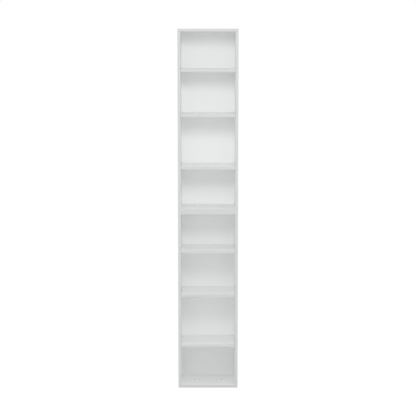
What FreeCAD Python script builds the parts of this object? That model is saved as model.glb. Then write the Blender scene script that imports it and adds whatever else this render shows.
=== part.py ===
"""A tall open bookcase: two equal modules of white board, one standing on the other.

Millimetres. The origin is the middle of the footprint on the floor, X runs to the right, Y to the rear
and Z up. Boards are drawn from the middle of the case in X, from its front face in Y and from the
underside of their module in Z, and a placement then carries them to their spot.
"""
import FreeCAD, Part
import os

import Sketcher

Vector = FreeCAD.Vector
X_AXIS = Vector(1, 0, 0)
Y_AXIS = Vector(0, 1, 0)
Z_AXIS = Vector(0, 0, 1)
TOUCH = 1e-6

DRIVING_SIZES = [
    # Case
    ("case_width", 400, "outside width of a module"),
    ("case_depth", 280, "outside depth of a module, edge band included"),
    ("board", 18, "thickness of the sides, tops and bottoms"),
    ("side_round", 0.5, "radius along the faces at the ends of a side"),
    ("shelf_board", 18, "thickness of the shelves"),
    ("bay_one", 264, "clear height of the lowest bay of a module"),
    ("bay_two", 328, "clear height of the second bay"),
    ("bay_three", 278, "clear height of the third bay"),
    ("bay_four", 245, "clear height of the uppermost bay"),
    # Edge band
    ("band", 1, "thickness of the edge band"),
    ("band_round", 0.6, "radius along the band's long front edges"),
    # Back panel in its grooves
    ("back_board", 3, "thickness of the back panel"),
    ("back_inset", 9, "rear edge of the case to the rear face of the back panel"),
    ("groove_depth", 7, "depth of the grooves that hold the back panel"),
    ("groove_play", 0.25, "room on each face of the back panel in its groove"),
    ("back_edge_play", 0.5, "room between the back panel's edges and the groove floor"),
    # Loose shelves
    ("shelf_setback", 1, "front of a shelf behind the front of the case"),
    ("shelf_end_play", 1, "room at each end of a shelf"),
    ("shelf_back_play", 1.5, "room between a shelf and the back panel"),
    # Shelf pins and their holes
    ("pin_diameter", 5, "shaft of a shelf pin"),
    ("pin_hole_play", 0.05, "room around a pin's shaft"),
    ("pin_hole_depth", 10, "depth of the pin holes"),
    ("pin_end_play", 0.5, "room at the end of a pin's shaft"),
    ("pin_front_setback", 37, "front of the case to the front column of holes"),
    ("pin_back_setback", 39, "back panel to the rear column of holes"),
    ("pin_pitch", 32, "height step between pin holes"),
    ("pin_rows_below", 1, "spare holes below each pin in use"),
    ("pin_rows_above", 1, "spare holes above each pin in use"),
    ("pin_rise", 0.8, "top of a pin's tongue above its shaft"),
    ("pin_width", 9, "width of a pin's bent plate"),
    ("pin_plate", 1.5, "thickness of a pin's bent plate"),
    ("pin_reach", 10, "length of the tongue under the shelf"),
    ("pin_drop", 14, "height of the plate against the side"),
    ("pin_corner", 3, "radius of the plate's free corners"),
    # Cam fittings between the sides and the panels
    ("cam_diameter", 15, "pocket of a cam lock"),
    ("cam_play", 0.1, "room around a cam lock"),
    ("cam_floor_play", 0.3, "room below a cam lock"),
    ("cam_recess", 1.2, "face of a cam lock below the face of its panel"),
    ("cam_below_axis", 4.5, "cam lock beyond the axis of its bolt"),
    ("cam_distance", 34, "middle of a cam lock to the end of its panel"),
    ("cam_front_setback", 40, "front of the case to the front fittings"),
    ("cam_back_setback", 40, "rear of the case to the rear fittings"),
    ("cam_slot_length", 9, "arms of the cross for the screwdriver"),
    ("cam_slot_width", 1.6, "width of those arms"),
    ("cam_slot_depth", 1.8, "depth of those arms"),
    ("cap_sink", 0.1, "face of a cap below the face of its panel"),
    ("bolt_thread", 5, "thread of a cam bolt in the side"),
    ("bolt_thread_length", 10.5, "length of that thread"),
    ("bolt_thread_play", 0.05, "room around the thread"),
    ("bolt_end_play", 0.5, "room at the end of the thread"),
    ("bolt_bore", 7.2, "bore for the bolt in the end of a panel"),
    ("bolt_bore_play", 0.2, "room around the bolt's collar and head"),
    ("bolt_collar_length", 2, "collar against the side"),
    ("bolt_neck", 4.4, "shank between collar and head"),
    ("bolt_head_length", 6, "head inside the cam lock"),
    ("bolt_head_play", 0.4, "room around the head in the cam lock"),
    # Dowels
    ("dowel", 8, "diameter of a dowel"),
    ("dowel_play", 0.05, "room around a dowel"),
    ("dowel_end_play", 0.5, "room at each end of a dowel"),
    ("dowel_in_side", 11, "length of a dowel in the side"),
    ("dowel_in_panel", 19, "length of a dowel in the panel"),
    ("dowel_chamfer", 1, "chamfer on a dowel's ends"),
    ("dowel_offset", 32, "fitting to the dowel beside it"),
    # Screws that join the two modules
    ("stack_hole", 10, "holes for joining modules"),
    ("stack_spacing", 184, "distance between those holes"),
    ("screw_thread", 8, "shank of a joining screw"),
    ("screw_thread_play", 0.05, "room around that shank in its nut"),
    ("screw_head", 15, "head of a joining screw and flange of its nut"),
    ("screw_head_height", 2, "height of the head"),
    ("screw_head_chamfer", 0.6, "chamfer on the head's rim"),
    ("screw_slot_length", 8, "arms of the cross in the head"),
    ("screw_slot_width", 1.6, "width of those arms"),
    ("screw_slot_depth", 1.2, "depth of those arms"),
    ("screw_tip_gap", 12, "tip of the screw above the nut's flange"),
    ("nut_play", 0.1, "room around the barrel of a nut"),
    ("nut_flange", 1.5, "thickness of a nut's flange"),
    ("nut_floor", 6, "closed end of a nut's barrel"),
    ("nut_end_gap", 4, "barrel's open end below the screw's head"),
    # Pilot holes for a wall anchor
    ("anchor_hole", 3, "pilot holes in the top for a wall anchor"),
    ("anchor_spacing", 60, "distance between those holes"),
    ("anchor_setback", 30, "rear of the case to those holes"),
    ("anchor_floor", 6, "board left below those holes"),
]

# Places and lengths that several pieces share, as expressions on the sheet
INNER_WIDTH = "(Sizes.case_width - 2 * Sizes.board)"
HALF_INNER = f"{INNER_WIDTH} / 2"
MODULE_HEIGHT = (
    "(2 * Sizes.board + 3 * Sizes.shelf_board"
    " + Sizes.bay_one + Sizes.bay_two + Sizes.bay_three + Sizes.bay_four)"
)
CASE_FRONT = "-Sizes.case_depth / 2"
BACK_FACE = "(Sizes.case_depth - Sizes.back_inset - Sizes.back_board)"
GROOVE_FRONT = f"{BACK_FACE} - Sizes.groove_play"
GROOVE_REAR = f"{BACK_FACE} + Sizes.back_board + Sizes.groove_play"
BACK_OVERLAP = "(Sizes.groove_depth - Sizes.back_edge_play)"
SHELF_HALF = f"({HALF_INNER} - Sizes.shelf_end_play)"
SHELF_UNDERSIDES = {
    "shelf_low": "(Sizes.board + Sizes.bay_one)",
    "shelf_middle": "(Sizes.board + Sizes.bay_one + Sizes.shelf_board + Sizes.bay_two)",
    "shelf_high": f"({MODULE_HEIGHT} - Sizes.board - Sizes.bay_four - Sizes.shelf_board)",
}
PIN_COLUMNS = ("Sizes.pin_front_setback", f"({BACK_FACE} - Sizes.pin_back_setback)")
PIN_TOP = "(Sizes.pin_diameter / 2 + Sizes.pin_rise)"
PIN_ROWS = "(floor(Sizes.pin_rows_below) + floor(Sizes.pin_rows_above) + 1)"
CAM_COLUMNS = ("Sizes.cam_front_setback", "(Sizes.case_depth - Sizes.cam_back_setback)")
DOWEL_COLUMNS = (
    "(Sizes.cam_front_setback + Sizes.dowel_offset)",
    "(Sizes.case_depth - Sizes.cam_back_setback - Sizes.dowel_offset)",
)
CAM_X = f"({HALF_INNER} - Sizes.cam_distance)"
CAM_BODY = "(Sizes.cam_diameter - 2 * Sizes.cam_play)"
CAM_HEIGHT = "(Sizes.board / 2 - Sizes.cam_recess + Sizes.cam_below_axis)"
BOLT_HEAD = "(Sizes.bolt_bore - 2 * Sizes.bolt_bore_play)"
BOLT_HEAD_START = "(Sizes.cam_distance - Sizes.bolt_head_length / 2)"
BOLT_HEAD_END = "(Sizes.cam_distance + Sizes.bolt_head_length / 2)"
STACK_HALF = "Sizes.stack_spacing / 2"
STACK_DEPTH = "Sizes.case_depth / 2"
SIGNS = {"left": "-", "right": ""}

# The most that a radius takes of the room at its edge
ROUND_SHARE = 0.9

doc = FreeCAD.newDocument("bookcase")
sizes = doc.addObject("Spreadsheet::Sheet", "Sizes")
for row, (alias, number, note) in enumerate(DRIVING_SIZES, start=1):
    sizes.set(f"A{row}", note)
    sizes.set(f"B{row}", str(number))
    sizes.setAlias(f"B{row}", alias)
doc.recompute()

pieces = []


# Sketches and features

def new_body(name):
    """An empty body, used either as a sub-part or as the pattern for a group of equal ones."""
    return doc.addObject("PartDesign::Body", name)


def origin_plane(body, role):
    """One of the body's own origin planes."""
    return next(item for item in body.Origin.OriginFeatures if item.Role == role)


def new_sketch(body, name, role, offset="0"):
    """A sketch on an origin plane, moved along the plane's normal by an expression."""
    sketch = body.newObject("Sketcher::SketchObject", name)
    sketch.AttachmentSupport = [(origin_plane(body, role), "")]
    sketch.MapMode = "FlatFace"
    sketch.setExpression("AttachmentOffset.Base.z", offset)
    return sketch


def point_at(sketch, spot):
    """The present place of a pair of expressions in a sketch."""
    x, y = (float(sketch.evalExpression(expression)) for expression in spot)
    return Vector(x, y, 0)


def tie_point(sketch, geometry, point, spot):
    """Holds a point of a sketch at a pair of expressions, measured from the sketch's origin."""
    here = point_at(sketch, spot)
    for direction, distance, expression in zip(("DistanceX", "DistanceY"), here, spot):
        constraint = Sketcher.Constraint(direction, -1, 1, geometry, point, distance)
        index = sketch.addConstraint(constraint)
        sketch.setExpression(f"Constraints[{index}]", expression)


def draw_polygon(sketch, spots):
    """A closed outline through spots given as pairs of expressions."""
    corners = [point_at(sketch, spot) for spot in spots]
    lines = [
        sketch.addGeometry(Part.LineSegment(start, end), False)
        for start, end in zip(corners, corners[1:] + corners[:1])
    ]
    for line, following in zip(lines, lines[1:] + lines[:1]):
        sketch.addConstraint(Sketcher.Constraint("Coincident", line, 2, following, 1))
    for line, spot in zip(lines, spots):
        tie_point(sketch, line, 1, spot)


def draw_rectangle(sketch, low, high):
    """A rectangle between two opposite corners."""
    draw_polygon(sketch, [low, (high[0], low[1]), high, (low[0], high[1])])


def draw_circles(sketch, spots, diameter):
    """Equal circles at the given spots."""
    for spot in spots:
        radius = float(sketch.evalExpression(diameter)) / 2
        circle = sketch.addGeometry(Part.Circle(point_at(sketch, spot), Z_AXIS, radius), False)
        tie_point(sketch, circle, 3, spot)
        index = sketch.addConstraint(Sketcher.Constraint("Diameter", circle, 2 * radius))
        sketch.setExpression(f"Constraints[{index}]", diameter)


def add_pad(body, name, sketch, length, against_normal=False):
    """Pads a sketch by an expression."""
    pad = body.newObject("PartDesign::Pad", name)
    pad.Profile = sketch
    pad.Reversed = against_normal
    pad.setExpression("Length", length)
    return pad


def add_pocket(body, name, sketch, depth, along_normal=False):
    """Cuts a sketch into the body, against the sketch's normal unless told otherwise."""
    pocket = body.newObject("PartDesign::Pocket", name)
    pocket.Profile = sketch
    pocket.Reversed = along_normal
    pocket.setExpression("Length", depth)
    return pocket


def add_revolution(body, name, sketch, axis):
    """Turns a sketch once round one of its own axes."""
    revolution = body.newObject("PartDesign::Revolution", name)
    revolution.Profile = sketch
    revolution.ReferenceAxis = (sketch, [axis])
    revolution.Angle = 360
    return revolution


def runs_along(edge, axis):
    """Whether an edge is a straight line in the given direction."""
    if not isinstance(edge.Curve, Part.Line):
        return False
    return edge.Curve.Direction.cross(axis).Length < TOUCH


def round_edges(body, name, radius, room, is_wanted):
    """Rounds those edges of the body as it stands that pass a test, by no more than they have room for."""
    doc.recompute()
    base = body.Tip
    edges = [f"Edge{n}" for n, edge in enumerate(base.Shape.Edges, start=1) if is_wanted(edge)]
    fillet = body.newObject("PartDesign::Fillet", name)
    fillet.Base = (base, edges)
    fillet.setExpression("Radius", f"min({radius}; {ROUND_SHARE} * {room})")


def cut_cross(body, offset, length, width, depth):
    """Sinks a cross for a screwdriver into the upper face at a height."""
    arms = {"CrossAlong": (length, width), "CrossOver": (width, length)}
    for name, (span_x, span_y) in arms.items():
        sketch = new_sketch(body, f"{name}Sketch", "XY_Plane", offset)
        corner = (f"{span_x} / 2", f"{span_y} / 2")
        opposite = (f"-{span_x} / 2", f"-{span_y} / 2")
        draw_rectangle(sketch, opposite, corner)
        add_pocket(body, name, sketch, depth)


def place(item, x="0", y=CASE_FRONT, z="0"):
    """Ties the place of a body or a copy to expressions."""
    for letter, expression in zip("xyz", (x, y, z)):
        item.setExpression(f"Placement.Base.{letter}", expression)


def keep(item, label):
    """Marks an object as a finished sub-part under its own name."""
    item.Label = label
    pieces.append(item)


def add_group(label, pattern, spots):
    """One sub-part made of equal, separate pieces.

    Each spot is a turn with the three expressions of its place.
    """
    copies = []
    for turn, x, y, z in spots:
        copy = doc.addObject("App::Link", f"{label}_copy")
        copy.LinkedObject = pattern
        copy.Placement = FreeCAD.Placement(Vector(), turn)
        place(copy, x, y, z)
        copies.append(copy)
    group = doc.addObject("Part::Compound", label)
    group.Links = copies
    keep(group, label)


# Boards

def add_side(label, hand, base):
    """A full-height side with its groove, fitting holes and pin holes in the inner face."""
    body = new_body(label)
    outline = new_sketch(body, "Outline", "YZ_Plane")
    draw_rectangle(outline, ("Sizes.band", "0"), ("Sizes.case_depth", MODULE_HEIGHT))
    add_pad(body, "Board", outline, "Sizes.board")

    inner_face = {"left": "Sizes.board", "right": "0"}[hand]
    along_normal = hand == "right"
    fitting_rows = ("Sizes.board / 2", f"({MODULE_HEIGHT} - Sizes.board / 2)")

    groove = new_sketch(body, "GrooveSketch", "YZ_Plane", inner_face)
    draw_rectangle(groove, (GROOVE_FRONT, "0"), (GROOVE_REAR, MODULE_HEIGHT))
    add_pocket(body, "Groove", groove, "Sizes.groove_depth", along_normal)

    bolts = new_sketch(body, "BoltHoleSketch", "YZ_Plane", inner_face)
    bolt_spots = [(y, z) for y in CAM_COLUMNS for z in fitting_rows]
    draw_circles(bolts, bolt_spots, "Sizes.bolt_thread + 2 * Sizes.bolt_thread_play")
    add_pocket(body, "BoltHoles", bolts, "Sizes.bolt_thread_length + Sizes.bolt_end_play", along_normal)

    dowels = new_sketch(body, "DowelHoleSketch", "YZ_Plane", inner_face)
    dowel_spots = [(y, z) for y in DOWEL_COLUMNS for z in fitting_rows]
    draw_circles(dowels, dowel_spots, "Sizes.dowel + 2 * Sizes.dowel_play")
    add_pocket(body, "DowelHoles", dowels, "Sizes.dowel_in_side + Sizes.dowel_end_play", along_normal)

    pins = new_sketch(body, "PinHoleSketch", "YZ_Plane", inner_face)
    drop = f"({PIN_TOP} + floor(Sizes.pin_rows_below) * Sizes.pin_pitch)"
    pin_spots = [(y, f"{z} - {drop}") for y in PIN_COLUMNS for z in SHELF_UNDERSIDES.values()]
    draw_circles(pins, pin_spots, "Sizes.pin_diameter + 2 * Sizes.pin_hole_play")
    pin_holes = add_pocket(body, "PinHoles", pins, "Sizes.pin_hole_depth", along_normal)

    rows = body.newObject("PartDesign::LinearPattern", "PinHoleRows")
    rows.Originals = [pin_holes]
    rows.Direction = (pins, ["V_Axis"])
    rows.Mode = "Spacing"
    rows.setExpression("Offset", "Sizes.pin_pitch")
    rows.setExpression("Occurrences", PIN_ROWS)
    body.Tip = rows

    height = float(outline.evalExpression(MODULE_HEIGHT))

    def is_end_arris(edge):
        centre = edge.CenterOfMass
        at_end = min(abs(centre.z), abs(centre.z - height)) < TOUCH
        on_face = min(abs(centre.x), abs(centre.x - sizes.board)) < TOUCH
        return runs_along(edge, Y_AXIS) and at_end and on_face

    round_edges(body, "EndArrises", "Sizes.side_round", "Sizes.board / 2", is_end_arris)
    outer_face = {"left": "-Sizes.case_width / 2", "right": HALF_INNER}[hand]
    place(body, x=outer_face, z=base)
    keep(body, label)


def add_panel(label, is_top, base):
    """A top or bottom panel between the sides. Cam locks sit in its hidden face."""
    body = new_body(label)
    outline = new_sketch(body, "Outline", "XY_Plane")
    draw_rectangle(outline, (f"-{HALF_INNER}", "Sizes.band"), (HALF_INNER, "Sizes.case_depth"))
    add_pad(body, "Board", outline, "Sizes.board")

    inner_face, hidden_face = ("0", "Sizes.board") if is_top else ("Sizes.board", "0")

    groove = new_sketch(body, "GrooveSketch", "XY_Plane", inner_face)
    draw_rectangle(groove, (f"-{HALF_INNER}", GROOVE_FRONT), (HALF_INNER, GROOVE_REAR))
    add_pocket(body, "Groove", groove, "Sizes.groove_depth", along_normal=is_top)

    cams = new_sketch(body, "CamPocketSketch", "XY_Plane", hidden_face)
    draw_circles(cams, [(CAM_X, y) for y in CAM_COLUMNS], "Sizes.cam_diameter")
    cam_depth = "Sizes.board / 2 + Sizes.cam_below_axis + Sizes.cam_floor_play"
    cam_pockets = add_pocket(body, "CamPockets", cams, cam_depth, along_normal=not is_top)

    bolts = new_sketch(body, "BoltBoreSketch", "YZ_Plane", HALF_INNER)
    draw_circles(bolts, [(y, "Sizes.board / 2") for y in CAM_COLUMNS], "Sizes.bolt_bore")
    bolt_bores = add_pocket(body, "BoltBores", bolts, "Sizes.cam_distance")

    dowels = new_sketch(body, "DowelBoreSketch", "YZ_Plane", HALF_INNER)
    dowel_spots = [(y, "Sizes.board / 2") for y in DOWEL_COLUMNS]
    draw_circles(dowels, dowel_spots, "Sizes.dowel + 2 * Sizes.dowel_play")
    dowel_bores = add_pocket(body, "DowelBores", dowels, "Sizes.dowel_in_panel + Sizes.dowel_end_play")

    other_end = body.newObject("PartDesign::Mirrored", "OtherEnd")
    other_end.Originals = [cam_pockets, bolt_bores, dowel_bores]
    other_end.MirrorPlane = (origin_plane(body, "YZ_Plane"), [""])
    body.Tip = other_end

    stack = new_sketch(body, "StackHoleSketch", "XY_Plane", "Sizes.board")
    stack_spots = [(f"{sign}{STACK_HALF}", STACK_DEPTH) for sign in SIGNS.values()]
    draw_circles(stack, stack_spots, "Sizes.stack_hole")
    add_pocket(body, "StackHoles", stack, "Sizes.board")

    if is_top:
        anchor = new_sketch(body, "AnchorHoleSketch", "XY_Plane", "Sizes.board")
        anchor_depth = "Sizes.case_depth - Sizes.anchor_setback"
        anchor_spots = [(f"{sign}Sizes.anchor_spacing / 2", anchor_depth) for sign in SIGNS.values()]
        draw_circles(anchor, anchor_spots, "Sizes.anchor_hole")
        add_pocket(body, "AnchorHoles", anchor, "Sizes.board - Sizes.anchor_floor")

    place(body, z=base)
    keep(body, label)


def add_back(label, base):
    """The thin back panel, held in the grooves of the four boards around it."""
    body = new_body(label)
    outline = new_sketch(body, "Outline", "XZ_Plane")
    half = f"({HALF_INNER} + {BACK_OVERLAP})"
    low = f"Sizes.board - {BACK_OVERLAP}"
    high = f"{MODULE_HEIGHT} - Sizes.board + {BACK_OVERLAP}"
    draw_rectangle(outline, (f"-{half}", low), (half, high))
    add_pad(body, "Sheet", outline, "Sizes.back_board", against_normal=True)
    place(body, y=f"{CASE_FRONT} + {BACK_FACE}", z=base)
    keep(body, label)


def add_shelf(label, base):
    """A loose shelf, with play at its ends and at the back panel."""
    body = new_body(label)
    outline = new_sketch(body, "Outline", "XY_Plane")
    front = "Sizes.shelf_setback + Sizes.band"
    rear = f"{BACK_FACE} - Sizes.shelf_back_play"
    draw_rectangle(outline, (f"-{SHELF_HALF}", front), (SHELF_HALF, rear))
    add_pad(body, "Board", outline, "Sizes.shelf_board")
    place(body, z=base)
    keep(body, label)


def add_band(label, low, high, rounded_axes, x="0", y=CASE_FRONT, z="0"):
    """The edge band on a board's front edge, with its front edges along the given axes rounded."""
    body = new_body(label)
    outline = new_sketch(body, "Outline", "XZ_Plane")
    draw_rectangle(outline, low, high)
    add_pad(body, "Strip", outline, "Sizes.band", against_normal=True)

    def is_front_arris(edge):
        is_rounded = any(runs_along(edge, axis) for axis in rounded_axes)
        return is_rounded and abs(edge.CenterOfMass.y) < TOUCH

    round_edges(body, "Arrises", "Sizes.band_round", "Sizes.band", is_front_arris)
    place(body, x, y, z)
    keep(body, label)


# Fittings, each drawn once and then copied into groups

def make_shelf_pin():
    """A bent plate with a shaft: the side's inner face is x = 0 and the shelf rests on the tongue."""
    body = new_body("ShelfPin")
    half = "Sizes.pin_width / 2"

    plate = new_sketch(body, "PlateSketch", "YZ_Plane")
    draw_rectangle(plate, (f"-{half}", f"{PIN_TOP} - Sizes.pin_drop"), (half, PIN_TOP))
    add_pad(body, "Plate", plate, "Sizes.pin_plate")

    tongue = new_sketch(body, "TongueSketch", "XY_Plane", f"{PIN_TOP} - Sizes.pin_plate")
    draw_rectangle(tongue, ("0", f"-{half}"), ("Sizes.pin_reach", half))
    add_pad(body, "Tongue", tongue, "Sizes.pin_plate")

    shaft = new_sketch(body, "ShaftSketch", "YZ_Plane")
    draw_circles(shaft, [("0", "0")], "Sizes.pin_diameter")
    add_pad(body, "Shaft", shaft, "Sizes.pin_hole_depth - Sizes.pin_end_play", against_normal=True)

    foot = sizes.pin_diameter / 2 + sizes.pin_rise - sizes.pin_drop

    def is_free_corner(edge):
        centre = edge.CenterOfMass
        at_tip = runs_along(edge, Z_AXIS) and abs(centre.x - sizes.pin_reach) < TOUCH
        at_foot = runs_along(edge, X_AXIS) and abs(centre.z - foot) < TOUCH
        return at_tip or at_foot

    round_edges(body, "Corners", "Sizes.pin_corner", "Sizes.pin_width / 2", is_free_corner)
    return body


def make_cam_bolt():
    """A bolt along X: its thread lies in the side, x = 0 is the joint and its head sits in the cam."""
    body = new_body("CamBolt")
    thread = "Sizes.bolt_thread / 2"
    neck = "Sizes.bolt_neck / 2"
    head = f"{BOLT_HEAD} / 2"
    profile = new_sketch(body, "Profile", "XY_Plane")
    draw_polygon(profile, [
        ("-Sizes.bolt_thread_length", "0"),
        ("-Sizes.bolt_thread_length", thread),
        ("0", thread),
        ("0", head),
        ("Sizes.bolt_collar_length", head),
        ("Sizes.bolt_collar_length", neck),
        (BOLT_HEAD_START, neck),
        (BOLT_HEAD_START, head),
        (BOLT_HEAD_END, head),
        (BOLT_HEAD_END, "0"),
    ])
    add_revolution(body, "Turned", profile, "H_Axis")
    return body


def make_cam_lock():
    """A cam lock with its face at z = 0 and its mouth towards +X, where the bolt's head enters."""
    body = new_body("CamLock")
    disc = new_sketch(body, "DiscSketch", "XY_Plane")
    draw_circles(disc, [("0", "0")], CAM_BODY)
    add_pad(body, "Disc", disc, CAM_HEIGHT, against_normal=True)

    mouth_floor = "-(Sizes.bolt_head_length / 2 + Sizes.bolt_head_play)"
    mouth = new_sketch(body, "MouthSketch", "YZ_Plane", mouth_floor)
    bolt_axis = ("0", "Sizes.cam_recess - Sizes.board / 2")
    draw_circles(mouth, [bolt_axis], f"{BOLT_HEAD} + 2 * Sizes.bolt_head_play")
    add_pocket(body, "Mouth", mouth, "Sizes.cam_diameter", along_normal=True)

    cut_cross(body, "0", "Sizes.cam_slot_length", "Sizes.cam_slot_width", "Sizes.cam_slot_depth")
    return body


def make_cam_cap():
    """A cap that lies on a cam lock, just below the face of its panel at z = 0."""
    body = new_body("CamCap")
    disc = new_sketch(body, "DiscSketch", "XY_Plane", "-Sizes.cam_recess")
    draw_circles(disc, [("0", "0")], CAM_BODY)
    add_pad(body, "Disc", disc, "Sizes.cam_recess - Sizes.cap_sink")
    return body


def make_dowel():
    """A chamfered dowel along X, with the joint at x = 0."""
    body = new_body("Dowel")
    radius = "Sizes.dowel / 2"
    tip = "(Sizes.dowel / 2 - Sizes.dowel_chamfer)"
    profile = new_sketch(body, "Profile", "XY_Plane")
    draw_polygon(profile, [
        ("-Sizes.dowel_in_side", "0"),
        ("-Sizes.dowel_in_side", tip),
        ("Sizes.dowel_chamfer - Sizes.dowel_in_side", radius),
        ("Sizes.dowel_in_panel - Sizes.dowel_chamfer", radius),
        ("Sizes.dowel_in_panel", tip),
        ("Sizes.dowel_in_panel", "0"),
    ])
    add_revolution(body, "Turned", profile, "H_Axis")
    return body


def make_stacking_screw():
    """A joining screw: its head rests at z = 0 on the upper module's bottom panel."""
    body = new_body("StackingScrew")
    shank = "Sizes.screw_thread / 2"
    head = "Sizes.screw_head / 2"
    tip = "Sizes.screw_tip_gap - 2 * Sizes.board"
    profile = new_sketch(body, "Profile", "XZ_Plane")
    draw_polygon(profile, [
        ("0", tip),
        (shank, tip),
        (shank, "0"),
        (head, "0"),
        (head, "Sizes.screw_head_height - Sizes.screw_head_chamfer"),
        (f"{head} - Sizes.screw_head_chamfer", "Sizes.screw_head_height"),
        ("0", "Sizes.screw_head_height"),
    ])
    add_revolution(body, "Turned", profile, "V_Axis")
    cut_cross(
        body,
        "Sizes.screw_head_height",
        "Sizes.screw_slot_length",
        "Sizes.screw_slot_width",
        "Sizes.screw_slot_depth",
    )
    return body


def make_sleeve_nut():
    """A sleeve nut: its flange lies below z = 0, the underside of the lower module's top panel."""
    body = new_body("SleeveNut")
    barrel = "(Sizes.stack_hole / 2 - Sizes.nut_play)"
    bore = "(Sizes.screw_thread / 2 + Sizes.screw_thread_play)"
    flange = "Sizes.screw_head / 2"
    mouth = "2 * Sizes.board - Sizes.nut_end_gap"
    profile = new_sketch(body, "Profile", "XZ_Plane")
    draw_polygon(profile, [
        ("0", "-Sizes.nut_flange"),
        (flange, "-Sizes.nut_flange"),
        (flange, "0"),
        (barrel, "0"),
        (barrel, mouth),
        (bore, mouth),
        (bore, "Sizes.nut_floor"),
        ("0", "Sizes.nut_floor"),
    ])
    add_revolution(body, "Turned", profile, "V_Axis")
    return body


# Assembly

def case_y(column):
    """A place measured from the front of the case, in the bookcase's own frame."""
    return f"{CASE_FRONT} + {column}"


def add_boards(module, base):
    """The seven boards and the back of one module, with their edge bands."""
    for hand in SIGNS:
        add_side(f"{module}_side_{hand}", hand, base)
        outer_face = {"left": "-Sizes.case_width / 2", "right": HALF_INNER}[hand]
        band = f"{module}_side_{hand}_band"
        top_corner = ("Sizes.board", MODULE_HEIGHT)
        add_band(band, ("0", "0"), top_corner, (X_AXIS, Z_AXIS), x=outer_face, z=base)

    panel_heights = {"bottom": base, "top": f"{base} + {MODULE_HEIGHT} - Sizes.board"}
    for name, height in panel_heights.items():
        add_panel(f"{module}_{name}_panel", name == "top", height)
        band = f"{module}_{name}_panel_band"
        add_band(band, (f"-{HALF_INNER}", "0"), (HALF_INNER, "Sizes.board"), (X_AXIS,), z=height)

    add_back(f"{module}_back_panel", base)

    for name, underside in SHELF_UNDERSIDES.items():
        height = f"{base} + {underside}"
        add_shelf(f"{module}_{name}", height)
        band = f"{module}_{name}_band"
        low = (f"-{SHELF_HALF}", "0")
        high = (SHELF_HALF, "Sizes.shelf_board")
        add_band(band, low, high, (X_AXIS,), y=case_y("Sizes.shelf_setback"), z=height)


def add_fittings(module, base, fittings):
    """The pins, cam fittings and dowels of one module."""
    turns = {"left": FreeCAD.Rotation(), "right": FreeCAD.Rotation(Z_AXIS, 180)}
    joints = {hand: f"{sign}{HALF_INNER}" for hand, sign in SIGNS.items()}

    for name, underside in SHELF_UNDERSIDES.items():
        height = f"{base} + {underside} - {PIN_TOP}"
        spots = [
            (turns[hand], joints[hand], case_y(column), height)
            for hand in SIGNS
            for column in PIN_COLUMNS
        ]
        add_group(f"{module}_{name}_pins", fittings["pin"], spots)

    axis_heights = (f"{base} + Sizes.board / 2", f"{base} + {MODULE_HEIGHT} - Sizes.board / 2")
    for name, columns in (("cam_bolts", CAM_COLUMNS), ("dowels", DOWEL_COLUMNS)):
        spots = [
            (turns[hand], joints[hand], case_y(column), height)
            for hand in SIGNS
            for column in columns
            for height in axis_heights
        ]
        add_group(f"{module}_{name}", fittings[name], spots)

    facing_up = {"left": FreeCAD.Rotation(Z_AXIS, 180), "right": FreeCAD.Rotation()}
    facing_down = {"left": FreeCAD.Rotation(Y_AXIS, 180), "right": FreeCAD.Rotation(X_AXIS, 180)}
    faces = (
        (facing_down, f"{base} + Sizes.cam_recess"),
        (facing_up, f"{base} + {MODULE_HEIGHT} - Sizes.cam_recess"),
    )
    spots = [
        (facing[hand], f"{sign}{CAM_X}", case_y(column), height)
        for facing, height in faces
        for hand, sign in SIGNS.items()
        for column in CAM_COLUMNS
    ]
    add_group(f"{module}_cam_locks", fittings["cam_locks"], spots)


def add_stacking():
    """The screws and nuts between the modules, and the caps on the uppermost face."""
    upright = FreeCAD.Rotation()
    stack_x = [f"{sign}{STACK_HALF}" for sign in SIGNS.values()]
    screw_seat = f"{MODULE_HEIGHT} + Sizes.board"
    nut_seat = f"{MODULE_HEIGHT} - Sizes.board"
    for label, pattern, seat in (
        ("stacking_screws", make_stacking_screw(), screw_seat),
        ("stacking_sleeve_nuts", make_sleeve_nut(), nut_seat),
    ):
        add_group(label, pattern, [(upright, x, case_y(STACK_DEPTH), seat) for x in stack_x])

    cap_spots = [
        (upright, f"{sign}{CAM_X}", case_y(column), f"2 * {MODULE_HEIGHT}")
        for sign in SIGNS.values()
        for column in CAM_COLUMNS
    ]
    add_group("cam_caps", make_cam_cap(), cap_spots)


def check_document():
    """Stops the build at a failed object, an empty or broken shape, or a cut that removes nothing."""
    for item in doc.Objects:
        if {"Invalid", "Error"} & set(item.State):
            raise RuntimeError(f"{item.Label} failed: {item.State}")
        if item.isDerivedFrom("PartDesign::Pocket"):
            if item.Shape.Volume > item.BaseFeature.Shape.Volume - TOUCH:
                raise RuntimeError(f"{item.Label} cuts nothing")
    for item in pieces:
        if item.Shape.isNull() or not item.Shape.isValid():
            raise RuntimeError(f"{item.Label} has no valid shape")


FITTINGS = {
    "pin": make_shelf_pin(),
    "cam_bolts": make_cam_bolt(),
    "cam_locks": make_cam_lock(),
    "dowels": make_dowel(),
}
for module_name, module_base in (("lower", "0"), ("upper", MODULE_HEIGHT)):
    add_boards(module_name, module_base)
    add_fittings(module_name, module_base, FITTINGS)
add_stacking()
doc.recompute()
check_document()

os.makedirs("parts", exist_ok=True)
for piece in pieces:
    piece.Shape.exportStep(os.path.join("parts", f"{piece.Label}.step"))
    print(piece.Label, len(piece.Shape.Solids), round(piece.Shape.Volume, 1))
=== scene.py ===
"""Dresses the stacked open bookcase and sets it in a white studio.

The boards, bands, backs, shelf pins and joint fittings get their finishes here. Lengths are metres in the
part's own frame: X runs across the case, Y from its front to its rear, Z up.
"""

from __future__ import annotations

import logging
import math
from abc import ABC, abstractmethod
from dataclasses import dataclass
from enum import Enum
from typing import Any

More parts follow.
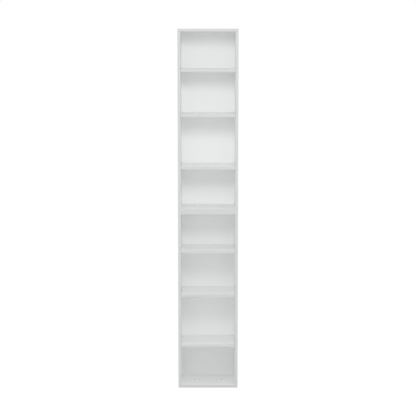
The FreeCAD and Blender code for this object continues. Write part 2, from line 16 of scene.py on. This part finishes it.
import bmesh
import bpy
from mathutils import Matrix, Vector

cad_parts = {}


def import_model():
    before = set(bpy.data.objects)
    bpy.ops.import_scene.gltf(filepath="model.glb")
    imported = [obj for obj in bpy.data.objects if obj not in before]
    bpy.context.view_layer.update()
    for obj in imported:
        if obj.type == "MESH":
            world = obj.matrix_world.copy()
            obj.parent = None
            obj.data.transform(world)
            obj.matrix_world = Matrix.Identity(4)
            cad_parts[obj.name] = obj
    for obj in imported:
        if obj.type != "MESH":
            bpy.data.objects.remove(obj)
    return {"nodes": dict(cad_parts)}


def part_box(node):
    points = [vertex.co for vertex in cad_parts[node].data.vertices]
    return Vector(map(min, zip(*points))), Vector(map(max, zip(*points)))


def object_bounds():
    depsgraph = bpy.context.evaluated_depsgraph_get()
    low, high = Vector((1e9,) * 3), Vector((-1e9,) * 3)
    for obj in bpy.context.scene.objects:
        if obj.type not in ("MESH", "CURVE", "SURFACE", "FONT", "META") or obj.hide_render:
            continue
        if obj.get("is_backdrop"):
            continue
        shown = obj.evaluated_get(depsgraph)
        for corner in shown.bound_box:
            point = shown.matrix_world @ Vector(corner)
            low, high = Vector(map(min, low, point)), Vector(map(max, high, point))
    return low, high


log = logging.getLogger("bookcase")

Triple = tuple[float, float, float]
Colour = tuple[float, float, float, float]
Span = tuple[float, float]
Socket = bpy.types.NodeSocket

EVEN: Triple = (1.0, 1.0, 1.0)
FULL: Span = (0.0, 1.0)
# Nearly all of a noise pattern lies between these levels.
NOISE_SPAN: Span = (0.3, 0.7)
WHITE: Colour = (1.0, 1.0, 1.0, 1.0)
MODULES = ("lower", "upper")
SHELVES = ("shelf_low", "shelf_middle", "shelf_high")


def grey(level: float) -> Colour:
    """Gives the neutral colour of a linear level from 0 to 1."""
    return (level, level, level, 1.0)


def dimmed(colour: Colour, share: float) -> Colour:
    """Gives a colour that keeps a share of its light."""
    return (share * colour[0], share * colour[1], share * colour[2], colour[3])


class Cut(Enum):
    """How a foiled board was sawn, which tells where its raw core shows."""

    SIDE = "side"
    PANEL = "panel"
    SHELF = "shelf"


class Run(Enum):
    """What lines or grain run along, as the scale of each axis of their pattern."""

    ACROSS = (0.05, 1.0, 1.0)
    UPRIGHT = (1.0, 1.0, 0.05)


class Mixture(Enum):
    """What a Mix node mixes: its type, then the places of its two inputs and of its output."""

    NUMBERS = ("FLOAT", 2, 3, 0)
    COLOURS = ("RGBA", 6, 7, 2)


@dataclass(frozen=True)
class Grain:
    """A noise pattern: its features in a metre, its finer layers and the scale of each axis."""

    per_metre: float
    layers: float = 2.0
    stretch: Triple = EVEN


@dataclass(frozen=True)
class Relief:
    """A bump: how much it counts, and its depth."""

    strength: float
    depth: float


class Bench:
    """One node tree, with short ways to add its nodes and join them."""

    def __init__(self, tree: bpy.types.NodeTree) -> None:
        """Empties the tree.

        Args:
            tree: The node tree to work on.
        """
        self.tree = tree
        self.tree.nodes.clear()
        self.spot: Socket | None = None

    def node(self, kind: str, **settings: Any) -> bpy.types.Node:
        """Adds a node.

        Args:
            kind: The node's type.
            **settings: Properties to set on it.

        Returns:
            The new node.
        """
        made = self.tree.nodes.new(kind)
        for key, value in settings.items():
            setattr(made, key, value)
        return made

    def feed(self, target: Socket, value: Any) -> None:
        """Links a socket to another, or sets it to a plain value.

        Args:
            target: The input socket.
            value: An output socket, a number, a vector or a colour.
        """
        if isinstance(value, bpy.types.NodeSocket):
            self.tree.links.new(value, target)
        else:
            target.default_value = value

    def place(self) -> Socket:
        """Gives the Object coordinates.

        Returns:
            The output of one node that all patterns share.
        """
        if self.spot is None:
            self.spot = self.node("ShaderNodeTexCoord").outputs["Object"]
        return self.spot

    def axes(self) -> tuple[Socket, Socket, Socket]:
        """Parts the Object coordinates.

        Returns:
            How far a point lies across, deep and up.
        """
        parted = self.node("ShaderNodeSeparateXYZ")
        self.feed(parted.inputs[0], self.place())
        return parted.outputs[0], parted.outputs[1], parted.outputs[2]

    def reckon(self, operation: str, *values: Any) -> Socket:
        """Adds a Math node.

        Args:
            operation: What it works out.
            *values: Its inputs, in order.

        Returns:
            The answer.
        """
        made = self.node("ShaderNodeMath", operation=operation)
        for target, value in zip(made.inputs, values):
            self.feed(target, value)
        return made.outputs[0]

    def stretched(self, stretch: Triple) -> Socket:
        """Gives the Object coordinates, drawn out along the axes with a small number.

        Args:
            stretch: The scale of each axis.

        Returns:
            The scaled coordinates.
        """
        made = self.node("ShaderNodeMapping")
        self.feed(made.inputs["Vector"], self.place())
        made.inputs["Scale"].default_value = stretch
        return made.outputs[0]

    def noise_node(self, grain: Grain) -> bpy.types.Node:
        """Adds a noise node.

        Args:
            grain: What its pattern is like.

        Returns:
            The node, which has a level and a colour.
        """
        made = self.node("ShaderNodeTexNoise")
        self.feed(made.inputs["Vector"], self.stretched(grain.stretch))
        made.inputs["Scale"].default_value = grain.per_metre
        made.inputs["Detail"].default_value = grain.layers
        return made

    def noise(self, grain: Grain) -> Socket:
        """Gives the level of a noise pattern, about 0.5."""
        return self.noise_node(grain).outputs[0]

    def flakes(self, grain: Grain, ragged: float, wander: Grain) -> Socket:
        """Adds a pattern of flakes with ragged outlines, each of one random level.

        Args:
            grain: How many flakes lie in a metre and how they are drawn out.
            ragged: How far the outlines stray, as a share of a flake.
            wander: The noise that they stray by.

        Returns:
            The level of the flake, from 0 to 1.
        """
        bent = self.node("ShaderNodeVectorMath", operation="MULTIPLY_ADD")
        self.feed(bent.inputs[0], self.noise_node(wander).outputs["Color"])
        bent.inputs[1].default_value = (ragged / grain.per_metre,) * 3
        self.feed(bent.inputs[2], self.stretched(grain.stretch))
        made = self.node("ShaderNodeTexVoronoi")
        self.feed(made.inputs["Vector"], bent.outputs[0])
        made.inputs["Scale"].default_value = grain.per_metre
        parted = self.node("ShaderNodeSeparateColor")
        self.feed(parted.inputs[0], made.outputs["Color"])
        return parted.outputs[0]

    def spread(self, value: Socket, into: Span = FULL, across: Span = NOISE_SPAN) -> Socket:
        """Spreads a pattern over a range.

        Args:
            value: The pattern.
            into: What its start and its end become.
            across: The levels that are its start and its end.

        Returns:
            The pattern in its new range.
        """
        made = self.node("ShaderNodeMapRange")
        self.feed(made.inputs["Value"], value)
        made.inputs["From Min"].default_value, made.inputs["From Max"].default_value = across
        made.inputs["To Min"].default_value, made.inputs["To Max"].default_value = into
        return made.outputs[0]

    def mixed(self, share: Any, first: Any, second: Any, kind: Mixture = Mixture.COLOURS) -> Socket:
        """Mixes two colours or two numbers.

        Args:
            share: How much of the second there is.
            first: A plain value or a socket.
            second: A plain value or a socket.
            kind: What is mixed.

        Returns:
            The mixture.
        """
        data_type, first_place, second_place, result = kind.value
        made = self.node("ShaderNodeMix", data_type=data_type)
        for place, value in ((0, share), (first_place, first), (second_place, second)):
            self.feed(made.inputs[place], value)
        return made.outputs[result]

    def clouded(self, pattern: Socket, tone: Colour, shade: float) -> Socket:
        """Gives a tone that a pattern brings down to a share of its light in places."""
        return self.mixed(self.spread(pattern), tone, dimmed(tone, shade))

    def bump(self, height: Socket, relief: Relief, under: Socket | None = None) -> Socket:
        """Adds a bump.

        Args:
            height: The pattern that stands proud.
            relief: How strong and deep it is.
            under: A bump that lies under it.

        Returns:
            The bumped normal.
        """
        made = self.node("ShaderNodeBump")
        made.inputs["Strength"].default_value = relief.strength
        made.inputs["Distance"].default_value = relief.depth
        self.feed(made.inputs["Height"], height)
        if under is not None:
            self.feed(made.inputs["Normal"], under)
        return made.outputs[0]


@dataclass(frozen=True)
class CaseSizes:
    """The sizes of the boards that the finishes follow."""

    board: float
    half_width: float
    module_height: float
    rear: float
    shelf_rear: float
    back_middle: float

    @classmethod
    def read(cls) -> CaseSizes:
        """Reads the sizes off the lower module, which the upper one repeats.

        Returns:
            The sizes.
        """
        side_low, side_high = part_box("lower_side_right")
        back_low, back_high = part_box("lower_back_panel")
        return cls(
            board=side_high.x - side_low.x,
            half_width=side_high.x,
            module_height=side_high.z - side_low.z,
            rear=side_high.y,
            shelf_rear=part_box("lower_shelf_low")[1].y,
            back_middle=(back_low.y + back_high.y) / 2,
        )


@dataclass(frozen=True)
class Finish(ABC):
    """A surface that a piece can be given."""

    name: str

    def material(self) -> bpy.types.Material:
        """Makes the material, or finds it where it is made already.

        Returns:
            The material.
        """
        found = bpy.data.materials.get(self.name)
        if found is not None:
            return found
        made = bpy.data.materials.new(self.name)
        made.use_nodes = True
        bench = Bench(made.node_tree)
        shader = bench.node("ShaderNodeBsdfPrincipled")
        bench.feed(bench.node("ShaderNodeOutputMaterial").inputs["Surface"], shader.outputs[0])
        self.paint(bench, shader)
        return made

    @abstractmethod
    def paint(self, bench: Bench, shader: bpy.types.Node) -> None:
        """Fills in the shader.

        Args:
            bench: The material's node tree.
            shader: The shader to fill in.
        """


@dataclass(frozen=True)
class Chipboard:
    """The raw core of a board: slender chips along its faces, with dust on them, pores between them and
    painted shade in its holes and grooves.
    """

    chips_per_metre: float = 800.0
    slender: float = 0.25
    ragged: float = 1.2
    strays_per_chip: float = 1.6
    dark_chip: Colour = (0.33, 0.205, 0.10, 1.0)
    pale_chip: Colour = (0.66, 0.49, 0.29, 1.0)
    dust: Grain = Grain(1900.0, 1.0)
    dust_share: Span = (0.0, 0.45)
    dust_tone: Colour = (0.74, 0.60, 0.40, 1.0)
    pores_per_metre: float = 1000.0
    pore_levels: Span = (0.62, 0.70)
    pore_share: Span = (0.0, 0.75)
    pore_tone: Colour = (0.15, 0.09, 0.045, 1.0)
    # The bore share and tone paint shade inside holes and grooves, partly the darker drilled core.
    bore_shade_share: float = 0.8
    bore_shade_tone: Colour = (0.10, 0.062, 0.034, 1.0)
    dull: float = 0.92
    crumb: Relief = Relief(0.6, 0.0006)

    def lie(self, cut: Cut) -> Triple:
        """Gives the scale of each axis that draws the chips out along a board's faces."""
        return (1.0, self.slender, self.slender) if cut is Cut.SIDE else (self.slender, self.slender, 1.0)

    def chips(self, bench: Bench, cut: Cut) -> Socket:
        """Lays the chips.

        Args:
            bench: The material's node tree.
            cut: How the board was sawn.

        Returns:
            The level of each chip, from 0 to 1.
        """
        lie = self.lie(cut)
        wander = Grain(self.strays_per_chip * self.chips_per_metre, stretch=lie)
        return bench.flakes(Grain(self.chips_per_metre, stretch=lie), self.ragged, wander)

    def colour(self, bench: Bench, cut: Cut, chips: Socket, drilled: Socket) -> Socket:
        """Colours the chips, and darkens them inside holes and grooves, partly as painted shade and partly
        as the darker drilled core.

        Args:
            bench: The material's node tree.
            cut: How the board was sawn.
            chips: The level of each chip.
            drilled: 1 inside holes and grooves, where shade is painted, 0 on the sawn edges.

        Returns:
            The colour of the core.
        """
        straw = bench.mixed(chips, self.dark_chip, self.pale_chip)
        dusty = bench.mixed(bench.spread(bench.noise(self.dust), self.dust_share), straw, self.dust_tone)
        holes = bench.noise(Grain(self.pores_per_metre, stretch=self.lie(cut)))
        pores = bench.spread(holes, self.pore_share, self.pore_levels)
        porous = bench.mixed(pores, dusty, self.pore_tone)
        # Inside holes and grooves the core is darkened with painted shade, partly the darker drilled core.
        return bench.mixed(bench.reckon("MULTIPLY", drilled, self.bore_shade_share), porous, self.bore_shade_tone)


@dataclass(frozen=True)
class FoiledBoard(Finish):
    """Chipboard under white melamine foil, with its raw core where it was sawn, grooved and drilled."""

    cut: Cut
    case: CaseSizes
    rear: float
    core: Chipboard = Chipboard()
    foil: Colour = (0.866, 0.873, 0.870, 1.0)
    foil_shade: float = 0.985
    foil_clouds: Grain = Grain(2.2, 3.0)
    foil_specular: float = 0.2
    foil_rubbing: Grain = Grain(38.0)
    foil_roughness: Span = (0.52, 0.60)
    pearl: Grain = Grain(1100.0, 1.0)
    pressing: Relief = Relief(0.10, 0.00012)
    skin: float = 0.00015

    def bare(self, bench: Bench) -> Socket:
        """Tells where the raw core shows.

        Args:
            bench: The material's node tree.

        Returns:
            1 on the core and 0 on the foil.
        """
        across, deep, up = bench.axes()
        if self.cut is Cut.SHELF:
            return bench.reckon("GREATER_THAN", deep, self.rear - self.skin)
        # Both modules share this finish, so a height is taken within its module.
        case = self.case
        height = bench.reckon("WRAP", up, case.module_height, 0.0)
        end = bench.reckon("MINIMUM", height, bench.reckon("SUBTRACT", case.module_height, height))
        inside = bench.reckon("GREATER_THAN", end, self.skin)
        if self.cut is Cut.PANEL:
            return bench.reckon("MULTIPLY", inside, bench.reckon("LESS_THAN", end, case.board - self.skin))
        half_board = case.board / 2
        middle = bench.reckon("SUBTRACT", bench.reckon("ABSOLUTE", across), case.half_width - half_board)
        within = bench.reckon("LESS_THAN", bench.reckon("ABSOLUTE", middle), half_board - self.skin)
        return bench.reckon("MULTIPLY", inside, within)

    def paint(self, bench: Bench, shader: bpy.types.Node) -> None:
        """Fills in the shader with pressed foil and flaked core.

        Args:
            bench: The material's node tree.
            shader: The shader to fill in.
        """
        bare = self.bare(bench)
        foil = bench.clouded(bench.noise(self.foil_clouds), self.foil, self.foil_shade)
        chips = self.core.chips(bench, self.cut)
        # Holes and grooves, where the core gets painted shade.
        drilled = bench.reckon("LESS_THAN", bench.axes()[1], self.rear - self.skin)
        raw = self.core.colour(bench, self.cut, chips, drilled)
        bench.feed(shader.inputs["Base Color"], bench.mixed(bare, foil, raw))
        shader.inputs["Specular IOR Level"].default_value = self.foil_specular
        rubbed = bench.spread(bench.noise(self.foil_rubbing), self.foil_roughness)
        bench.feed(shader.inputs["Roughness"], bench.mixed(bare, rubbed, self.core.dull, Mixture.NUMBERS))
        pressed = bench.bump(bench.noise(self.pearl), self.pressing)
        crumbs = bench.reckon("MULTIPLY", chips, bare)
        bench.feed(shader.inputs["Normal"], bench.bump(crumbs, self.core.crumb, pressed))


@dataclass(frozen=True)
class EdgeBand(Finish):
    """White plastic edge band, toned a darker grey than the foil as painted shade on the front edges, with
    faint lines drawn out along its length.
    """

    run: Run
    # A grey darker than the foil: painted shade on the front edges.
    tone: Colour = (0.631, 0.637, 0.634, 1.0)
    shade: float = 0.98
    clouds: Grain = Grain(3.0)
    lines_per_metre: float = 700.0
    specular: float = 0.35
    roughness: Span = (0.42, 0.52)
    drawing: Relief = Relief(0.12, 0.00008)

    def paint(self, bench: Bench, shader: bpy.types.Node) -> None:
        """Fills in the shader with faint lines along the band.

        Args:
            bench: The material's node tree.
            shader: The shader to fill in.
        """
        lines = bench.noise(Grain(self.lines_per_metre, stretch=self.run.value))
        tone = bench.clouded(bench.noise(self.clouds), self.tone, self.shade)
        bench.feed(shader.inputs["Base Color"], tone)
        shader.inputs["Specular IOR Level"].default_value = self.specular
        bench.feed(shader.inputs["Roughness"], bench.spread(lines, self.roughness))
        bench.feed(shader.inputs["Normal"], bench.bump(lines, self.drawing))


@dataclass(frozen=True)
class LacqueredHardboard(Finish):
    """Thin hardboard with a white lacquered face towards the bays and a bare brown face behind."""

    middle: float
    lacquer: Colour = (0.909, 0.916, 0.913, 1.0)
    shade: float = 0.985
    clouds: Grain = Grain(1.7)
    specular: float = 0.3
    roller: Grain = Grain(620.0)
    rolled_roughness: Span = (0.50, 0.58)
    rolling: Relief = Relief(0.10, 0.00012)
    fibre: Grain = Grain(850.0, 6.0, (0.6, 1.0, 1.0))
    dark_fibre: Colour = (0.19, 0.106, 0.050, 1.0)
    pale_fibre: Colour = (0.31, 0.187, 0.098, 1.0)
    stains: Grain = Grain(7.0, 5.0)
    stain_share: Span = (0.0, 0.6)
    stain_tone: Colour = (0.22, 0.126, 0.061, 1.0)
    bare_roughness: float = 0.80
    felting: Relief = Relief(0.30, 0.0002)

    def paint(self, bench: Bench, shader: bpy.types.Node) -> None:
        """Fills in the shader with rolled lacquer before the sheet's middle and pressed fibre behind it.

        Args:
            bench: The material's node tree.
            shader: The shader to fill in.
        """
        bare = bench.reckon("GREATER_THAN", bench.axes()[1], self.middle)
        face = bench.clouded(bench.noise(self.clouds), self.lacquer, self.shade)
        fibre = bench.noise(self.fibre)
        brown = bench.mixed(bench.spread(fibre), self.dark_fibre, self.pale_fibre)
        stains = bench.spread(bench.noise(self.stains), self.stain_share)
        stained = bench.mixed(stains, brown, self.stain_tone)
        bench.feed(shader.inputs["Base Color"], bench.mixed(bare, face, stained))
        shader.inputs["Specular IOR Level"].default_value = self.specular
        roller = bench.noise(self.roller)
        rolled = bench.spread(roller, self.rolled_roughness)
        roughness = bench.mixed(bare, rolled, self.bare_roughness, Mixture.NUMBERS)
        bench.feed(shader.inputs["Roughness"], roughness)
        lacquered = bench.bump(roller, self.rolling)
        felt = bench.reckon("MULTIPLY", fibre, bare)
        bench.feed(shader.inputs["Normal"], bench.bump(felt, self.felting, lacquered))


@dataclass(frozen=True)
class PlatedMetal(Finish):
    """Stamped, turned or cast metal under a thin plating."""

    tone: Colour
    roughness: Span
    grain: Grain
    relief: Relief
    shade: float = 0.88
    clouds: Grain = Grain(240.0, 3.0)

    def paint(self, bench: Bench, shader: bpy.types.Node) -> None:
        """Fills in the shader with clouded plating over a fine grain.

        Args:
            bench: The material's node tree.
            shader: The shader to fill in.
        """
        clouds = bench.noise(self.clouds)
        bench.feed(shader.inputs["Base Color"], bench.clouded(clouds, self.tone, self.shade))
        shader.inputs["Metallic"].default_value = 1.0
        bench.feed(shader.inputs["Roughness"], bench.spread(clouds, self.roughness))
        bench.feed(shader.inputs["Normal"], bench.bump(bench.noise(self.grain), self.relief))


@dataclass(frozen=True)
class Beech(Finish):
    """Pale beech with short dark flecks along its grain."""

    run: Run
    grain_per_metre: float = 900.0
    grain_layers: float = 3.0
    dark_grain: Colour = (0.56, 0.36, 0.20, 1.0)
    pale_grain: Colour = (0.70, 0.50, 0.31, 1.0)
    flecks_per_metre: float = 2200.0
    fleck_layers: float = 1.0
    fleck_levels: Span = (0.58, 0.72)
    fleck_share: Span = (0.0, 0.6)
    fleck_tone: Colour = (0.34, 0.19, 0.09, 1.0)
    roughness: Span = (0.55, 0.70)
    relief: Relief = Relief(0.3, 0.0003)

    def paint(self, bench: Bench, shader: bpy.types.Node) -> None:
        """Fills in the shader with grain and flecks.

        Args:
            bench: The material's node tree.
            shader: The shader to fill in.
        """
        grain = bench.noise(Grain(self.grain_per_metre, self.grain_layers, self.run.value))
        specks = bench.noise(Grain(self.flecks_per_metre, self.fleck_layers, self.run.value))
        flecks = bench.spread(specks, self.fleck_share, self.fleck_levels)
        wood = bench.mixed(bench.spread(grain), self.dark_grain, self.pale_grain)
        bench.feed(shader.inputs["Base Color"], bench.mixed(flecks, wood, self.fleck_tone))
        bench.feed(shader.inputs["Roughness"], bench.spread(grain, self.roughness))
        bench.feed(shader.inputs["Normal"], bench.bump(grain, self.relief))


@dataclass(frozen=True)
class MouldedPlastic(Finish):
    """White moulded plastic with a spark-eroded surface."""

    tone: Colour = (0.823, 0.820, 0.817, 1.0)
    shade: float = 0.97
    clouds: Grain = Grain(60.0)
    spark: Grain = Grain(2600.0)
    roughness: Span = (0.42, 0.54)
    relief: Relief = Relief(0.15, 0.00006)

    def paint(self, bench: Bench, shader: bpy.types.Node) -> None:
        """Fills in the shader with a fine spark texture.

        Args:
            bench: The material's node tree.
            shader: The shader to fill in.
        """
        spark = bench.noise(self.spark)
        tone = bench.clouded(bench.noise(self.clouds), self.tone, self.shade)
        bench.feed(shader.inputs["Base Color"], tone)
        bench.feed(shader.inputs["Roughness"], bench.spread(spark, self.roughness))
        bench.feed(shader.inputs["Normal"], bench.bump(spark, self.relief))


NICKEL_PLATE = PlatedMetal(
    "nickel_plate",
    tone=(0.72, 0.69, 0.64, 1.0),
    roughness=(0.20, 0.32),
    grain=Grain(3000.0),
    relief=Relief(0.2, 0.00004),
)
ZINC_PLATE = PlatedMetal(
    "zinc_plate",
    tone=(0.62, 0.64, 0.67, 1.0),
    roughness=(0.30, 0.42),
    grain=Grain(2400.0),
    relief=Relief(0.2, 0.00005),
)
CAST_ZINC = PlatedMetal(
    "cast_zinc",
    tone=(0.50, 0.51, 0.53, 1.0),
    roughness=(0.42, 0.54),
    grain=Grain(1500.0),
    relief=Relief(0.2, 0.00015),
)
DOWEL_BEECH = Beech("beech", Run.ACROSS)
CAP_PLASTIC = MouldedPlastic("moulded_plastic")
# Both bands carry the painted shade of the front edges in their grey tone.
LEVEL_BAND = EdgeBand("band_level", Run.ACROSS)
UPRIGHT_BAND = EdgeBand("band_upright", Run.UPRIGHT)


@dataclass
class SubAssembly(ABC):
    """Pieces of the bookcase that are finished together."""

    nodes: dict[str, bpy.types.Object]

    @abstractmethod
    def dress(self) -> None:
        """Gives every piece its finish."""

    def give(self, piece: str, finish: Finish) -> None:
        """Puts a finish on a piece and reports it.

        Args:
            piece: The piece's name.
            finish: What it is finished with.
        """
        mesh = self.nodes[piece].data
        mesh.materials.clear()
        mesh.materials.append(finish.material())
        log.info("%s: %s", piece, finish.name)


@dataclass
class Module(SubAssembly):
    """One carcass: two sides, top and bottom panels, a back, three shelves and their front bands."""

    label: str
    case: CaseSizes

    def finish_board(self, board: str, cut: Cut, rear: float, band: EdgeBand) -> None:
        """Finishes a board and the band on its front edge.

        Args:
            board: The board's name within the module.
            cut: How it was sawn.
            rear: Where its rear edge is.
            band: The finish of its band.
        """
        piece = f"{self.label}_{board}"
        self.give(piece, FoiledBoard(f"foiled_{cut.value}", cut, self.case, rear))
        self.give(f"{piece}_band", band)

    def dress(self) -> None:
        """Finishes the boards, their bands and the back."""
        for side in ("side_left", "side_right"):
            self.finish_board(side, Cut.SIDE, self.case.rear, UPRIGHT_BAND)
        for panel in ("bottom_panel", "top_panel"):
            self.finish_board(panel, Cut.PANEL, self.case.rear, LEVEL_BAND)
        for shelf in SHELVES:
            self.finish_board(shelf, Cut.SHELF, self.case.shelf_rear, LEVEL_BAND)
        back = LacqueredHardboard("lacquered_hardboard", self.case.back_middle)
        self.give(f"{self.label}_back_panel", back)


@dataclass
class Fittings(SubAssembly):
    """One module's shelf pins and the cams, bolts and dowels in its corners."""

    label: str

    def dress(self) -> None:
        """Finishes the pins and the joint fittings."""
        for shelf in SHELVES:
            self.give(f"{self.label}_{shelf}_pins", NICKEL_PLATE)
        self.give(f"{self.label}_cam_bolts", ZINC_PLATE)
        self.give(f"{self.label}_cam_locks", CAST_ZINC)
        self.give(f"{self.label}_dowels", DOWEL_BEECH)


@dataclass
class Stacking(SubAssembly):
    """The screws and sleeve nuts between the modules, and the caps in the uppermost face."""

    def dress(self) -> None:
        """Finishes the screws, the nuts and the caps."""
        self.give("stacking_screws", ZINC_PLATE)
        self.give("stacking_sleeve_nuts", ZINC_PLATE)
        self.give("cam_caps", CAP_PLASTIC)


@dataclass
class Studio:
    """A white floor that runs into a white ground, one soft key light and the camera.

    Tilts are degrees below level, the key's power is in watts, and the lens is in millimetres.
    """

    case_front: float
    floor_half: float = 40.0
    floor_cells: int = 8
    floor_glow: float = 0.79
    floor_shade: float = 0.26
    floor_tone: float = 0.90
    room_light: float = 0.833
    ground_white: float = 1.0
    bounces: int = 12
    key_power: float = 33.7
    key_width: float = 0.68
    key_height: float = 1.13
    key_place: Triple = (0.0, -3.00, 3.14)
    key_tilt: float = 65.7
    eye_distance: float = 8.0
    eye_height: float = 2.30
    eye_tilt: float = 7.62
    lens: float = 105.0
    film_width: float = 36.0

    def seen(self, bench: Bench) -> Socket:
        """Tells the rays that show the white ground from those that light the bookcase.

        Args:
            bench: The node tree of the floor or the room.

        Returns:
            1 for a ray that shows it.
        """
        path = bench.node("ShaderNodeLightPath")
        straight = bench.reckon("MAXIMUM", path.outputs["Is Camera Ray"], path.outputs["Is Glossy Ray"])
        return bench.reckon("MAXIMUM", straight, path.outputs["Is Transmission Ray"])

    def pick(self, bench: Bench, lighting: bpy.types.Node, shown: bpy.types.Node) -> Socket:
        """Picks between two shaders by the ray.

        Args:
            bench: The node tree of the floor or the room.
            lighting: The shader for rays that light the bookcase.
            shown: The shader for rays that show the white ground.

        Returns:
            The shader that is picked.
        """
        made = bench.node("ShaderNodeMixShader")
        for place, value in enumerate((self.seen(bench), lighting.outputs[0], shown.outputs[0])):
            bench.feed(made.inputs[place], value)
        return made.outputs[0]

    def floor_paint(self) -> bpy.types.Material:
        """Makes the floor's material, which is white to the eye and still takes a shadow.

        Returns:
            The material.
        """
        paint = bpy.data.materials.new("floor_paint")
        paint.use_nodes = True
        bench = Bench(paint.node_tree)
        matt, pale = bench.node("ShaderNodeBsdfDiffuse"), bench.node("ShaderNodeBsdfDiffuse")
        matt.inputs["Color"].default_value = grey(self.floor_tone)
        pale.inputs["Color"].default_value = grey(self.floor_shade)
        glow = bench.node("ShaderNodeEmission")
        glow.inputs["Strength"].default_value = self.floor_glow
        shown = bench.node("ShaderNodeAddShader")
        bench.feed(shown.inputs[0], glow.outputs[0])
        bench.feed(shown.inputs[1], pale.outputs[0])
        bench.feed(bench.node("ShaderNodeOutputMaterial").inputs["Surface"], self.pick(bench, matt, shown))
        return paint

    def lay_floor(self) -> None:
        """Lays the floor under the bookcase."""
        shape = bmesh.new()
        bmesh.ops.create_grid(
            shape, x_segments=self.floor_cells, y_segments=self.floor_cells, size=self.floor_half
        )
        mesh = bpy.data.meshes.new("studio_floor")
        shape.to_mesh(mesh)
        shape.free()
        mesh.materials.append(self.floor_paint())
        floor = bpy.data.objects.new("studio_floor", mesh)
        bpy.context.scene.collection.objects.link(floor)
        floor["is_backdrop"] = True
        log.info("floor: %.0f m square", 2 * self.floor_half)

    def light_room(self) -> None:
        """Gives the room its even light, and a white ground behind the bookcase."""
        world = bpy.data.worlds.new("studio_room")
        world.use_nodes = True
        bpy.context.scene.world = world
        bench = Bench(world.node_tree)
        room, ground = bench.node("ShaderNodeBackground"), bench.node("ShaderNodeBackground")
        for light, strength in ((room, self.room_light), (ground, self.ground_white)):
            light.inputs["Color"].default_value = WHITE
            light.inputs["Strength"].default_value = strength
        bench.feed(bench.node("ShaderNodeOutputWorld").inputs["Surface"], self.pick(bench, room, ground))
        bpy.context.scene.cycles.diffuse_bounces = self.bounces
        log.info("room light: %.2f", self.room_light)

    def hang_key(self) -> None:
        """Hangs the key light in front of the bookcase, above it."""
        lamp = bpy.data.lights.new("key_panel", "AREA")
        lamp.shape = "RECTANGLE"
        lamp.size, lamp.size_y = self.key_width, self.key_height
        lamp.energy = self.key_power
        holder = bpy.data.objects.new("key_panel", lamp)
        bpy.context.scene.collection.objects.link(holder)
        holder.location = self.key_place
        holder.rotation_euler = (math.radians(90.0 - self.key_tilt), 0.0, 0.0)
        holder.visible_camera = False
        log.info("key light: %.0f W", self.key_power)

    def set_camera(self) -> None:
        """Sets the camera before the bookcase, a little under its top and tilted down."""
        view = bpy.data.cameras.new("camera")
        view.lens = self.lens
        view.sensor_width = self.film_width
        holder = bpy.data.objects.new("camera", view)
        bpy.context.scene.collection.objects.link(holder)
        holder.location = (0.0, self.case_front - self.eye_distance, self.eye_height)
        holder.rotation_euler = (math.radians(90.0 - self.eye_tilt), 0.0, 0.0)
        bpy.context.scene.camera = holder
        bpy.context.scene.view_settings.view_transform = "Standard"
        log.info("camera: %.0f mm lens, %.2f m up", self.lens, self.eye_height)

    def build(self) -> None:
        """Sets up the floor, the light and the camera."""
        self.lay_floor()
        self.light_room()
        self.hang_key()
        self.set_camera()


def corners() -> list[list[float]]:
    """Gives the lowest and highest corners of what is there now, as plain numbers."""
    return [[float(part) for part in corner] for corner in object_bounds()]


def main() -> None:
    """Loads the frame, dresses the bookcase and sets up the studio."""
    logging.basicConfig(level=logging.INFO, format="%(name)s: %(message)s")
    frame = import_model()
    cad_box = corners()
    nodes = frame["nodes"]
    case = CaseSizes.read()
    for label in MODULES:
        Module(nodes, label, case).dress()
        Fittings(nodes, label).dress()
    Stacking(nodes).dress()
    case_front = cad_box[0][1]
    Studio(case_front).build()


if __name__ == "__main__":
    main()
